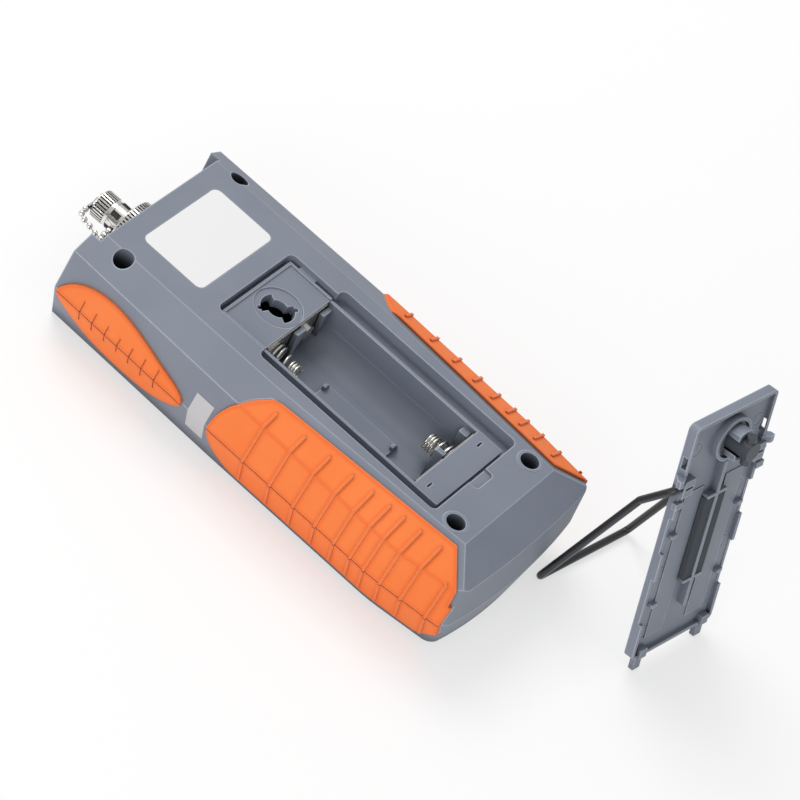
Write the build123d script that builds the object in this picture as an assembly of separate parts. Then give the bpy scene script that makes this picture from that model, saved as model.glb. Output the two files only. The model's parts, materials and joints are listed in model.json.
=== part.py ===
"""Handheld optical light source, lying on its front with the battery cover taken off.

Millimetres. X runs across the housing, +Y towards the fibre port, +Z up through the
rear face. The origin is the middle of the front face, on the surface it rests on.
The battery cover stands beside the housing on its own wire stand.
"""
from build123d import *
import math
import os

os.makedirs("parts", exist_ok=True)

# Housing: overall form
HEIGHT = 36.0            # front face to rear face
SEAM_Z = 16.0            # height of the joint between the two shells
WALL = 2.2
HALF_TOP = 36.3          # half widths at the seam, from the port end to the bottom end
HALF_WAIST = 37.4
HALF_END = 34.2
Y_HORN = 76.8            # tips of the two horns beside the port
Y_REAR_TOP = 73.3        # end wall between the horns
Y_WAIST = 13.0
Y_TAPER = -50.0
Y_CORNER = -74.2         # bottom end, at its corners and at its middle
Y_END = -77.0
FRONT_DRAFT = 6.6        # how far the sides lean in from the seam to the front face
FRONT_END_DRAFT = 2.2
REAR_DRAFT = 1.9
REAR_END_Y = -73.4
HORN_HALF = 28.4         # inner faces of the horns
CORNER_R = 4.5
FOLD_HALF = 26.2         # half width of the flat rear face
FOLD_END_HALF = 22.85
Y_FOLD_WAIST = 7.3
Y_FOLD_END = -63.9
SHOULDER_SLOPE = 0.53
BEVEL_SLOPE = 0.57

# Rubber grips
GRIP_PROUD = 0.8
GRIP_SUNK = 1.0
GRIP_EDGE_GAP = 2.3      # bare margin between the fold line and the grip
GRIP_EDGE_FLARE = 0.8    # more of it at the nose end
SEAM_GAP = 0.2
RIB_PROUD = 0.55
RIB_WIDTH = 0.9
RIB_Y = [0.6, -9.9, -19.1, -27.5, -34.9, -41.2, -46.4, -52.5, -59.8, -68.4]
PAD_LINE_Y = [65.9, 60.9, 55.9, 50.9, 46.1, 41.1, 36.0]
PAD_PROUD = 0.9
LINE_WIDTH = 0.45

# Cover recess and battery bay in the rear face
RECESS_DEPTH = 2.2
GUTTER_DEPTH = 4.4
GUTTER_WIDTH = 1.3
RECESS_TOP_Y = 36.3
RECESS_BOTTOM_Y = -50.7
RECESS_HALF = 18.2
WIDE_HALF = 21.2
WIDE_TOP_Y = 17.6
BAY_LENGTH = 58.3
BAY_TOP_Y = 18.2
BAY_HALF = 15.9
BAY_WALL = 1.5
CELL_R = 7.25
CELL_X = 7.75
TROUGH_R = 7.6
CELL_Z = 26.0
LEDGE_HALF = 4.3
LEDGE_Z = 19.8
LEDGE_TOP_Y = 2.6
LEDGE_BOTTOM_Y = -25.2
RECESS_FLOOR = HEIGHT - RECESS_DEPTH
BAY_BOTTOM_Y = BAY_TOP_Y - BAY_LENGTH
LATCH_Y = 25.9
LATCH_SEAT_R = 7.65
LATCH_SEAT_DEPTH = 0.5
LATCH_CORE_R = 3.3
LATCH_LOBE_R = 5.4
LATCH_NOTCH_R = 0.7

# Screws that hold the shells together
SCREW_PLACES = [(27.8, 64.8), (-27.8, 64.8), (19.0, -57.3), (-19.0, -57.3)]
SCREW_HOLE_R = 3.0
SCREW_SEAT_Z = 21.0
SCREW_HEAD_R = 2.6
SCREW_HEAD_H = 2.0
SCREW_R = 1.3
BOSS_R = 4.4
SCREW_TIP_Z = 6.0

# Fibre port
PORT_Z = 17.0
ADAPTER_R = 6.0
RING_R = 9.5
RING_FRONT_Y = Y_REAR_TOP + 6.2
RING_BACK_Y = Y_REAR_TOP + 0.6
RING_TEETH = 54
COLLAR_R = 4.9
COLLAR_FRONT_Y = Y_REAR_TOP + 10.8
BARREL_R = 4.0
BARREL_FRONT_Y = Y_REAR_TOP + 15.6
SLEEVE_R = 1.6
FERRULE_R = 1.25
CAP_R = 4.75
CAP_CLEAR = 0.06
CAP_END_Y = Y_REAR_TOP + 17.2
CAP_END_WALL = 1.3
CAP_TEETH = 30
BEAD_R = 1.05
LINK_R = 0.25

# Front face: display and keys
FACE_RECESS = 0.9
DISPLAY_Y = 38.0
DISPLAY_LENGTH = 26.0
DISPLAY_HALF = 20.0
KEY_R = 5.6
KEY_TRAVEL = 0.9
KEY_PLACES = {"key_power": (-12.0, -12.0), "key_wavelength": (12.0, -12.0),
              "key_mode": (-12.0, -32.0), "key_backlight": (12.0, -32.0)}
KEY_GAP = 0.25
BOARD_Z = 12.5
BOARD_T = 1.6
BOARD_HALF = 22.0
BOARD_TOP_Y = 52.0
BOARD_BOTTOM_Y = -66.0
BOARD_SCREWS = [(18.5, 48.5), (-18.5, 48.5), (18.5, -46.0), (-18.5, -46.0)]

# Battery cover, in its own frame: outer face at z = 0, bottom edge at y = 0
COVER_GAP = 0.3
COVER_T = 1.8
LIP_DEPTH = 3.2
LIP_T = 1.1
STAND_R = 1.2
HINGE_Y = 65.0
HINGE_Z = -2.6
HINGE_CLEAR = 0.05
STAND_HALF = 19.9
STAND_SHORT = 15.0
STAND_LEG = 55.0
STAND_KNEE = 15.0
STAND_OPEN = 29.0
HOOK_X = 13.8
HOOK_REACH = 5.0
HOOK_W = 3.0
HOOK_OUTER_Z = -1.0
HOOK_T = 1.8
COVER_PLACE = (33.7, -115.8)
COVER_TURN = -10.0


def box(x0, x1, y0, y1, z0, z1):
    """Block between two corners."""
    size = Box(x1 - x0, y1 - y0, z1 - z0)
    return Pos((x0 + x1) / 2, (y0 + y1) / 2, (z0 + z1) / 2) * size


def rod_z(x, y, z0, z1, r):
    """Round bar standing along Z."""
    return Pos(x, y, z0) * Cylinder(r, z1 - z0, align=(Align.CENTER, Align.CENTER, Align.MIN))


def rod_y(x, z, y0, y1, r):
    """Round bar lying along Y."""
    bar = Cylinder(r, y1 - y0, align=(Align.CENTER, Align.CENTER, Align.MIN))
    return Pos(x, y0, z) * Rot(-90, 0, 0) * bar


def rod_x(y, z, x0, x1, r):
    """Round bar lying along X."""
    bar = Cylinder(r, x1 - x0, align=(Align.CENTER, Align.CENTER, Align.MIN))
    return Pos(x0, y, z) * Rot(0, 90, 0) * bar


def both_sides(shape):
    """A shape and its mirror image across the YZ plane."""
    return shape + mirror(shape, about=Plane.YZ)


def save(shape, name):
    """Write one node, as one solid or as a group of separate solids."""
    solids = list(shape.solids())
    shape = solids[0] if len(solids) == 1 else Compound(children=solids)
    shape.label = name
    export_step(shape, f"parts/{name}.step")


# Housing envelope, on which the shells, the grips and the stickers are all based


def plan(side, corner_y, mid_y, horn_y, z):
    """Outline of the housing seen from above, widened by side, as a face at height z."""
    right = [(HALF_TOP + side, horn_y), (HALF_WAIST + side, Y_WAIST),
             (HALF_WAIST + side, Y_TAPER), (HALF_END + side, corner_y)]
    left = [(-x, y) for x, y in reversed(right)]
    lines = Polyline(*right) + ThreePointArc(right[-1], (0, mid_y), left[0])
    lines += Polyline(*left) + Line(left[-1], right[0])
    face = make_face(lines)
    ends = [v for v in face.vertices() if abs(v.Y - corner_y) < 0.01]
    face = fillet(ends, CORNER_R)
    bends = [v for v in face.vertices() if abs(v.Y - Y_TAPER) < 0.01]
    face = fillet(bends, 60)
    return Pos(0, 0, z) * face


def half_space(x, y, z, normal):
    """Everything beyond a plane through a point."""
    cutter = Box(400, 400, 100, align=(Align.CENTER, Align.CENTER, Align.MIN))
    return Plane(origin=(x, y, z), z_dir=normal) * cutter


def envelope(grow):
    """Solid housing form, grown or shrunk by one distance all over."""
    front = plan(grow - FRONT_DRAFT, Y_CORNER + FRONT_END_DRAFT - grow,
                 Y_END + FRONT_END_DRAFT - grow, Y_HORN + grow, 0)
    seam = plan(grow, Y_CORNER - grow, Y_END - grow, Y_HORN + grow, SEAM_Z)
    rear = plan(grow - REAR_DRAFT, REAR_END_Y - grow, REAR_END_Y - 0.3 - grow,
                Y_HORN + grow, HEIGHT + 2)
    body = loft([front, seam], ruled=True) + loft([seam, rear], ruled=True)
    run = math.hypot(FOLD_HALF - FOLD_END_HALF, Y_FOLD_WAIST - Y_FOLD_END)
    nx = (Y_FOLD_WAIST - Y_FOLD_END) / run
    ny = -(FOLD_HALF - FOLD_END_HALF) / run
    slope = SHOULDER_SLOPE
    lift = grow * math.hypot(slope, 1)
    upper = half_space(FOLD_HALF, 0, HEIGHT + lift, (slope, 0, 1))
    lower = half_space(FOLD_HALF, Y_FOLD_WAIST, HEIGHT + lift, (slope * nx, slope * ny, 1))
    body -= both_sides(upper)
    body -= both_sides(lower)
    lift = grow * math.hypot(BEVEL_SLOPE, 1)
    body -= half_space(0, Y_FOLD_END, HEIGHT + lift, (0, -BEVEL_SLOPE, 1))
    body -= box(-60, 60, -90, 90, HEIGHT + grow, HEIGHT + 20)
    return body


def grip_prism(x0, x1):
    """Side view outline of the long grip, with its rounded nose towards the port."""
    nose = Spline((-6.0, 36.6), (-1.1, 35.6), (2.1, 35.1), (6.2, 33.6), (10.4, 30.9), (13.2, 26.3),
                  (14.9, 20.0), (14.9, 14.5), (13.2, 9.5), (9.5, 5.5), (4.0, 3.0))
    rest = Polyline((4.0, 3.0), (-66.5, 3.0), (-72.9, 9.0), (-72.9, 37.5), (-6.0, 37.5), (-6.0, 36.6))
    return Pos(x0, 0, 0) * extrude(Plane.YZ * make_face(nose + rest), amount=x1 - x0)


def pad_prism(x0, x1):
    """Side view outline of the small upper pad, an egg shape pointing down the housing."""
    rim = Spline((75.2, 17.5), (67, 25.2), (58, 27.0), (46, 25.0), (35, 21.4), (25.6, 16.6),
                 (33, 8.0), (45, 4.6), (60, 5.2), (70, 9.5), periodic=True)
    return Pos(x0, 0, 0) * extrude(Plane.YZ * make_face(rim), amount=x1 - x0)


def rear_field(margin):
    """Column over the bare part of the rear face and shoulders, which grips keep out of."""
    m = GRIP_EDGE_GAP + margin
    top = FOLD_HALF + m + GRIP_EDGE_FLARE
    right = [(top, 90), (top, Y_FOLD_WAIST), (FOLD_END_HALF + m, Y_FOLD_END + m / 2),
             (34.6 + margin, Y_CORNER + 1.9), (34.6 + margin, -90)]
    left = [(-x, y) for x, y in reversed(right)]
    face = make_face(Polyline(*right, *left, close=True))
    return extrude(Pos(0, 0, SEAM_Z + 8) * face, amount=40)


skin = envelope(0)
inner = envelope(-WALL)
notch = box(-HORN_HALF, HORN_HALF, Y_REAR_TOP, Y_HORN + 5, -5, HEIGHT + 5)
skin_notched = skin - notch
front_zone = box(-60, 60, -100, 100, -5, SEAM_Z)
rear_zone = box(-60, 60, -100, 100, SEAM_Z, HEIGHT + 5)
sunk_form = envelope(-GRIP_SUNK)
proud_form = envelope(GRIP_PROUD)
grip_sides = grip_prism(-60, -20) + grip_prism(20, 60)
pad_sides = pad_prism(-60, -20) + pad_prism(20, 60)
grip_pocket = (skin - sunk_form) & grip_sides
grip_pocket -= rear_field(0)
pad_pocket = (skin - sunk_form) & pad_sides
cavity = inner & box(-60, 60, Y_END - 5, Y_REAR_TOP - WALL, WALL, HEIGHT - WALL)


def screw_boss(x, y, z0, z1):
    """Screw pillar."""
    return rod_z(x, y, z0, z1, BOSS_R)


def keyhole(z0, z1):
    """Latch opening: a round middle, two lobes along Y and a small notch on each lobe."""
    core = rod_z(0, LATCH_Y, z0, z1, LATCH_CORE_R)
    lobes = rod_z(0, LATCH_Y, z0, z1, LATCH_LOBE_R)
    wedge = make_face(Polyline((0, 0), (-9, 4), (-5, 11), (5, 9), close=True))
    sector = extrude(Pos(0, LATCH_Y, z0) * wedge, amount=z1 - z0)
    opposite = extrude(Pos(0, LATCH_Y, z0) * Rot(0, 0, 180) * wedge, amount=z1 - z0)
    notch_r = LATCH_LOBE_R + 0.4
    turn = math.radians(141)
    notches = rod_z(notch_r * math.cos(turn), LATCH_Y + notch_r * math.sin(turn), z0, z1, LATCH_NOTCH_R)
    turn += math.pi
    notches += rod_z(notch_r * math.cos(turn), LATCH_Y + notch_r * math.sin(turn), z0, z1, LATCH_NOTCH_R)
    return core + (lobes & (sector + opposite)) + notches


def recess_outline(inset, z0, z1):
    """Opening that takes the cover, wider where the stand's legs lie."""
    top = box(-RECESS_HALF + inset, RECESS_HALF - inset, RECESS_BOTTOM_Y + inset,
              RECESS_TOP_Y - inset, z0, z1)
    top = fillet(top.edges().filter_by(Axis.Z).group_by(Axis.Y)[-1], 2.2)
    wide = box(-WIDE_HALF + inset, WIDE_HALF - inset, RECESS_BOTTOM_Y + inset,
               WIDE_TOP_Y - inset, z0, z1)
    wide = fillet(wide.edges().filter_by(Axis.Z), 2.0)
    return top + wide


def bay_room(grow, y0, y1):
    """Room of the battery bay: two troughs with a flat floor between, open to the rear."""
    x = BAY_HALF - TROUGH_R - 0.05
    room = box(-BAY_HALF - grow, BAY_HALF + grow, y0, y1, CELL_Z, HEIGHT)
    room += box(-x, x, y0, y1, CELL_Z - TROUGH_R + 0.1 - grow, CELL_Z + 1)
    return room + both_sides(rod_y(x, CELL_Z, y0, y1, TROUGH_R + grow))


def gusset(low0, low1, high0, high1, y0, y1):
    """Tapered rib that keeps a contact plate against the bay's end wall."""
    foot = CELL_Z - TROUGH_R - 0.6
    profile = Polyline((low0, foot), (low1, foot), (high1, RECESS_FLOOR - 1.8), (high0, RECESS_FLOOR - 1.8), close=True)
    return Pos(0, y1, 0) * extrude(Plane.XZ * make_face(profile), amount=y1 - y0)


def make_rear_shell():
    """Rear shell with the cover recess, the two-cell bay and the screw wells."""
    shell = (skin_notched & rear_zone) - cavity
    tray = recess_outline(-1.6, HEIGHT - GUTTER_DEPTH - 1.6, HEIGHT - 0.5)
    tub = box(-BAY_HALF - BAY_WALL, BAY_HALF + BAY_WALL, BAY_BOTTOM_Y - BAY_WALL,
              BAY_TOP_Y + BAY_WALL, CELL_Z - TROUGH_R - BAY_WALL, HEIGHT - 0.5)
    shell += tray & inner + tray
    shell += tub
    for x, y in SCREW_PLACES:
        shell += screw_boss(x, y, SEAM_Z, HEIGHT) & skin_notched
    shell -= recess_outline(0, RECESS_FLOOR, HEIGHT + 5)
    gutter = recess_outline(0, HEIGHT - GUTTER_DEPTH, HEIGHT)
    island = box(-RECESS_HALF + GUTTER_WIDTH, RECESS_HALF - GUTTER_WIDTH, RECESS_BOTTOM_Y + GUTTER_WIDTH,
                 RECESS_TOP_Y - GUTTER_WIDTH, 0, HEIGHT)
    shell -= gutter - island
    rail = box(-RECESS_HALF + GUTTER_WIDTH, RECESS_HALF - GUTTER_WIDTH, BAY_TOP_Y,
               RECESS_TOP_Y - GUTTER_WIDTH, RECESS_FLOOR, RECESS_FLOOR + 0.6)
    rail -= box(-RECESS_HALF + GUTTER_WIDTH + 0.9, RECESS_HALF - GUTTER_WIDTH - 0.9, BAY_TOP_Y - 1,
                RECESS_TOP_Y - GUTTER_WIDTH - 0.9, RECESS_FLOOR - 1, HEIGHT)
    shell += rail
    shell += box(RECESS_HALF - GUTTER_WIDTH, RECESS_HALF, 25.4, 31.6, HEIGHT - GUTTER_DEPTH, RECESS_FLOOR + 0.6)
    shell -= rod_z(0, LATCH_Y, RECESS_FLOOR - LATCH_SEAT_DEPTH, HEIGHT, LATCH_SEAT_R)
    shell -= keyhole(HEIGHT - 8, HEIGHT)
    shell -= bay_room(0, BAY_BOTTOM_Y, BAY_TOP_Y)
    ledge = box(-LEDGE_HALF, LEDGE_HALF, LEDGE_BOTTOM_Y, LEDGE_TOP_Y, CELL_Z - TROUGH_R - 0.5, LEDGE_Z)
    ledge += box(0.4, LEDGE_HALF, LEDGE_TOP_Y - 1.0, LEDGE_TOP_Y, LEDGE_Z - 1, LEDGE_Z + 1.6)
    ledge += box(0.4, LEDGE_HALF, LEDGE_BOTTOM_Y, LEDGE_BOTTOM_Y + 1.0, LEDGE_Z - 1, LEDGE_Z + 1.6)
    shell += ledge - both_sides(rod_y(CELL_X, CELL_Z, BAY_BOTTOM_Y, BAY_TOP_Y, CELL_R + 0.15))
    shell += gusset(0.1, 1.3, -1.6, 3.1, BAY_TOP_Y - 2.2, BAY_TOP_Y - 0.6)
    shell += gusset(14.6, 16.4, 11.2, 16.4, BAY_TOP_Y - 2.2, BAY_TOP_Y - 0.6)
    shell += gusset(1.7, 2.4, 1.3, 2.9, BAY_BOTTOM_Y + 1.1, BAY_BOTTOM_Y + 4.1)
    shell += gusset(15.0, 16.4, 13.1, 16.4, BAY_BOTTOM_Y + 1.1, BAY_BOTTOM_Y + 4.1)
    for x in (-13.9, 11.5):
        shell -= box(x, x + 2.4, BAY_BOTTOM_Y - 3.7, BAY_BOTTOM_Y - 3.1, HEIGHT - 7, HEIGHT)
    shell -= extrude(Pos(0.5, RECESS_BOTTOM_Y - 1.2, HEIGHT - 0.7) * RectangleRounded(8.4, 4.0, 1.4), amount=2)
    for x, y in SCREW_PLACES:
        if y < 0:
            shell += rod_z(x, y, HEIGHT - 1, HEIGHT + 0.15, SCREW_HOLE_R + 1.0)
        shell -= rod_z(x, y, SCREW_SEAT_Z, HEIGHT + 5, SCREW_HOLE_R)
        shell -= rod_z(x, y, SEAM_Z - 1, SCREW_SEAT_Z + 1, SCREW_R + 0.15)
    shell -= rod_y(0, PORT_Z, Y_REAR_TOP - 10, Y_REAR_TOP + 5, ADAPTER_R)
    label_seat = extrude(Pos(0, Y_REAR_TOP - 18.4, HEIGHT - 0.12) * RectangleRounded(35.6, 23.4, 2.4), amount=2)
    shell -= label_seat
    return shell - grip_pocket - pad_pocket


def make_front_shell():
    """Front shell with the display window, the key field, screw pillars and end slots."""
    shell = (skin_notched & front_zone) - cavity
    field = box(-24, 24, -44, 2, WALL - 0.1, FACE_RECESS + WALL)
    shell += field & inner + field
    for x, y in SCREW_PLACES:
        shell += screw_boss(x, y, 1, SEAM_Z) & skin_notched
        shell -= rod_z(x, y, SCREW_TIP_Z - 1, SEAM_Z + 1, SCREW_R)
    for x, y in BOARD_SCREWS:
        shell += rod_z(x, y, 1, BOARD_Z, 3.0)
        shell -= rod_z(x, y, BOARD_Z - 7, BOARD_Z + 1, 1.0)
    key_field = extrude(Pos(0, -21, -1) * RectangleRounded(44, 42, 4), amount=1 + FACE_RECESS)
    shell -= key_field
    for x, y in KEY_PLACES.values():
        shell -= rod_z(x, y, -1, FACE_RECESS + WALL + 1, KEY_R + KEY_GAP)
    window = RectangleRounded(2 * DISPLAY_HALF, DISPLAY_LENGTH, 2)
    seat = RectangleRounded(2 * DISPLAY_HALF + 5, DISPLAY_LENGTH + 5, 3)
    shell -= extrude(Pos(0, DISPLAY_Y, -1) * window, amount=10)
    shell -= extrude(Pos(0, DISPLAY_Y, -1) * seat, amount=2.4)
    shell -= rod_y(0, PORT_Z, Y_REAR_TOP - 10, Y_REAR_TOP + 5, ADAPTER_R)
    shell -= extrude(Plane.XZ.offset(60) * Pos(17.0, 9.2) * RectangleRounded(10.0, 5.0, 1.2), amount=25)
    shell -= box(2.0, 6.0, -90, -70, 12.2, 13.4)
    return shell - grip_pocket - pad_pocket


def skin_layer(outer, side, zone, prism, field):
    """One rubber piece: the layer between two envelopes, cut to its outline."""
    layer = (outer - sunk_form) & prism & zone
    if field is not None:
        layer -= field
    return layer & side


def make_grips():
    """Four long grips and four upper pads, split at the seam between the shells."""
    left = box(-60, -10, -100, 100, -5, HEIGHT + 5)
    right = box(10, 60, -100, 100, -5, HEIGHT + 5)
    rear = box(-60, 60, -100, 100, SEAM_Z + SEAM_GAP, HEIGHT + 5)
    front = box(-60, 60, -100, 100, -5, SEAM_Z - SEAM_GAP)
    rib_form = envelope(GRIP_PROUD + RIB_PROUD) - envelope(GRIP_PROUD - 0.3)
    slabs = None
    for y in RIB_Y:
        slab = box(-60, 60, y - RIB_WIDTH / 2, y + RIB_WIDTH / 2, 4.2, 34.6)
        slabs = slab if slabs is None else slabs + slab
    ribs = (rib_form & slabs & grip_sides) - rear_field(3.2)
    pad_form = envelope(PAD_PROUD)
    lines = None
    for i, y in enumerate(PAD_LINE_Y):
        reach = 3.2 + 0.45 * abs(i - 3)
        line = box(-60, 60, y - LINE_WIDTH / 2, y + LINE_WIDTH / 2, SEAM_Z - reach, SEAM_Z + reach)
        lines = line if lines is None else lines + line
    lines -= envelope(PAD_PROUD - 0.35)
    for side_name, side in (("left", left), ("right", right)):
        for half_name, zone in (("rear", rear), ("front", front)):
            grip = skin_layer(proud_form, side, zone, grip_sides, rear_field(0))
            grip += ribs & side & zone
            save(grip, f"grip_{half_name}_{side_name}")
            pad = skin_layer(pad_form, side, zone, pad_sides, None) - lines
            save(pad, f"side_pad_{half_name}_{side_name}")


def make_stickers():
    """Blank rating label on the rear face and blank seal over the seam."""
    label = extrude(Pos(0, Y_REAR_TOP - 18.4, HEIGHT - 0.12) * RectangleRounded(35.4, 23.2, 2.3), amount=0.15)
    save(label, "rating_label")
    strip = box(-60, -20, Y_REAR_TOP - 57.1, Y_REAR_TOP - 50.4, 6.4, 23.4)
    save((envelope(0.12) - skin) & strip, "seal_sticker")


def make_screws():
    """Case screws in their wells and board screws on the front shell's pillars."""
    group = None
    for x, y in SCREW_PLACES:
        head = rod_z(x, y, SCREW_SEAT_Z, SCREW_SEAT_Z + SCREW_HEAD_H, SCREW_HEAD_R)
        head -= box(x - 1.6, x + 1.6, y - 0.35, y + 0.35, SCREW_SEAT_Z + 0.9, SCREW_SEAT_Z + 5)
        head -= box(x - 0.35, x + 0.35, y - 1.6, y + 1.6, SCREW_SEAT_Z + 0.9, SCREW_SEAT_Z + 5)
        screw = head + rod_z(x, y, SCREW_TIP_Z, SCREW_SEAT_Z, SCREW_R)
        group = screw if group is None else group + screw
    save(group, "case_screws")
    group = None
    for x, y in BOARD_SCREWS:
        top = BOARD_Z + BOARD_T
        screw = rod_z(x, y, top, top + 1.3, 1.9) + rod_z(x, y, BOARD_Z - 5, top, 1.0)
        group = screw if group is None else group + screw
    save(group, "board_screws")


def make_electronics():
    """Main board and what it carries: display, key switches, laser and socket."""
    board = box(-BOARD_HALF, BOARD_HALF, BOARD_BOTTOM_Y, BOARD_TOP_Y, BOARD_Z, BOARD_Z + BOARD_T)
    for x, y in BOARD_SCREWS:
        board -= rod_z(x, y, BOARD_Z - 1, BOARD_Z + 3, 1.0)
    for x, y in SCREW_PLACES:
        board -= rod_z(x, y, BOARD_Z - 1, BOARD_Z + 3, BOSS_R + 0.4)
    save(board, "main_board")
    seat = RectangleRounded(2 * DISPLAY_HALF + 4.8, DISPLAY_LENGTH + 4.8, 2.9)
    save(extrude(Pos(0, DISPLAY_Y, 0.3) * seat, amount=1.1), "display_window")
    panel = box(-DISPLAY_HALF + 0.5, DISPLAY_HALF - 0.5, DISPLAY_Y - DISPLAY_LENGTH / 2 + 0.5,
                DISPLAY_Y + DISPLAY_LENGTH / 2 - 0.5, 1.4, 5.4)
    for x in (-12, 12):
        for y in (DISPLAY_Y - 9, DISPLAY_Y + 9):
            panel += rod_z(x, y, 5.4, BOARD_Z, 1.0)
    save(panel, "display_module")
    group = None
    for x, y in KEY_PLACES.values():
        dome = box(x - 3, x + 3, y - 3, y + 3, BOARD_Z - 1.3, BOARD_Z)
        group = dome if group is None else group + dome
    save(group, "key_switches")
    laser = rod_y(0, PORT_Z, Y_REAR_TOP - 21, Y_REAR_TOP - WALL - 2.4, 5.0)
    laser -= box(-7, 7, Y_REAR_TOP - 22, Y_REAR_TOP - 4, 0, BOARD_Z + BOARD_T)
    laser += rod_y(0, PORT_Z, Y_REAR_TOP - WALL - 2.4, Y_REAR_TOP - WALL - 1.2, 6.8) - box(
        -9, 9, 40, 80, 0, PORT_Z - 6.2)
    save(laser, "laser_module")
    socket = box(12.0, 22.0, -71.8, -62.2, 6.0, BOARD_Z) - box(13.0, 21.0, -74, -63.4, 7.4, 11.0)
    socket += box(14.2, 19.8, -71.0, -63.3, 8.9, 9.6)
    save(socket, "power_socket")


def make_keys():
    """Keys on the front face: a cap, a keeper flange and a stem to its switch."""
    for name, (x, y) in KEY_PLACES.items():
        cap = rod_z(x, y, 0.35, FACE_RECESS + WALL + 0.1, KEY_R)
        cap = chamfer(cap.edges().group_by(Axis.Z)[0], 0.4)
        flange_z = FACE_RECESS + WALL + 0.1
        key = cap + rod_z(x, y, flange_z, flange_z + 1.0, KEY_R + 1.0)
        key += rod_z(x, y, flange_z + 1.0, BOARD_Z - 1.3 - KEY_TRAVEL - 0.08, 1.8)
        save(key, name)


def toothed(r, depth, count, y0, y1):
    """Straight-knurled disc along Y."""
    points = []
    for i in range(count):
        for k, radius in ((0.0, r), (0.38, r), (0.5, r - depth), (0.88, r - depth)):
            a = 2 * math.pi * (i + k) / count
            points.append((radius * math.cos(a), radius * math.sin(a)))
    face = make_face(Polyline(*points, close=True))
    return Pos(0, y0, PORT_Z) * Rot(-90, 0, 0) * extrude(face, amount=y1 - y0)


def make_port():
    """Fibre adapter with its knurled ring, sleeve, dust cap and the cap's chain."""
    adapter = rod_y(0, PORT_Z, Y_REAR_TOP - WALL - 1.2, RING_FRONT_Y + 0.3, ADAPTER_R)
    collar = rod_y(0, PORT_Z, RING_FRONT_Y + 0.3, COLLAR_FRONT_Y, COLLAR_R)
    for i in range(6):
        gap = box(-0.95, 0.95, RING_FRONT_Y + 1.6, COLLAR_FRONT_Y + 1, COLLAR_R - 1.4, COLLAR_R + 1)
        collar -= Pos(0, 0, PORT_Z) * Rot(0, 60 * i + 18, 0) * gap
    adapter += collar
    adapter += rod_y(0, PORT_Z, COLLAR_FRONT_Y, BARREL_FRONT_Y, BARREL_R)
    adapter -= rod_y(0, PORT_Z, Y_REAR_TOP - 10, BARREL_FRONT_Y + 1, SLEEVE_R)
    save(adapter, "fibre_adapter")
    ring = toothed(RING_R, 0.35, RING_TEETH, RING_BACK_Y + 0.5, RING_FRONT_Y - 0.7)
    ring += rod_y(0, PORT_Z, RING_BACK_Y, RING_BACK_Y + 0.5, RING_R - 0.5)
    ring += rod_y(0, PORT_Z, RING_FRONT_Y - 0.7, RING_FRONT_Y, RING_R - 0.5)
    ring -= rod_y(0, PORT_Z, 0, 100, ADAPTER_R)
    save(ring, "knurled_ring")
    sleeve = rod_y(0, PORT_Z, Y_REAR_TOP - 3, BARREL_FRONT_Y - 0.4, SLEEVE_R)
    sleeve -= rod_y(0, PORT_Z, 0, 100, FERRULE_R)
    save(sleeve, "alignment_sleeve")
    cap = toothed(CAP_R, 0.25, CAP_TEETH, COLLAR_FRONT_Y + 0.15, CAP_END_Y - 0.6)
    cap += rod_y(0, PORT_Z, CAP_END_Y - 0.6, CAP_END_Y, CAP_R - 0.5)
    cap -= rod_y(0, PORT_Z, 0, CAP_END_Y - CAP_END_WALL, BARREL_R + CAP_CLEAR)
    cap += rod_y(0, PORT_Z, CAP_END_Y, CAP_END_Y + 1.1, 0.9)
    save(cap, "dust_cap")
    swivel = rod_y(0, PORT_Z, CAP_END_Y + 0.15, CAP_END_Y + 0.75, 2.6)
    swivel += box(-5.2, 0, CAP_END_Y + 0.15, CAP_END_Y + 0.75, PORT_Z - 1.1, PORT_Z + 1.1)
    swivel -= rod_y(0, PORT_Z, 0, 100, 0.95)
    save(swivel, "cap_swivel")


def make_chain():
    """Bead chain from the swivel on the cap down to the neck of the adapter."""
    y, z = Y_REAR_TOP, HEIGHT
    route = [(-6.3, y + 17.62, z - 18.9), (-8.9, y + 17.0, z - 18.5), (-10.2, y + 14.9, z - 18.4),
             (-10.4, y + 12.4, z - 18.8), (-10.4, y + 9.9, z - 19.6), (-9.8, y + 7.7, z - 20.4),
             (-7.9, y + 8.2, z - 20.2), (-6.0, y + 8.2, z - 19.6)]
    chain = None
    for point in route:
        bead = Pos(*point) * Rot(0, 0, 37) * Sphere(BEAD_R)
        chain = bead if chain is None else chain + bead
    for a, b in zip(route, route[1:]):
        link = Vector(*b) - Vector(*a)
        start = Vector(*a) + link.normalized() * 0.6
        wire = Plane(origin=start, z_dir=link) * Cylinder(
            LINK_R, link.length - 1.2, align=(Align.CENTER, Align.CENTER, Align.MIN))
        chain += wire
    save(chain, "bead_chain")


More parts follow.
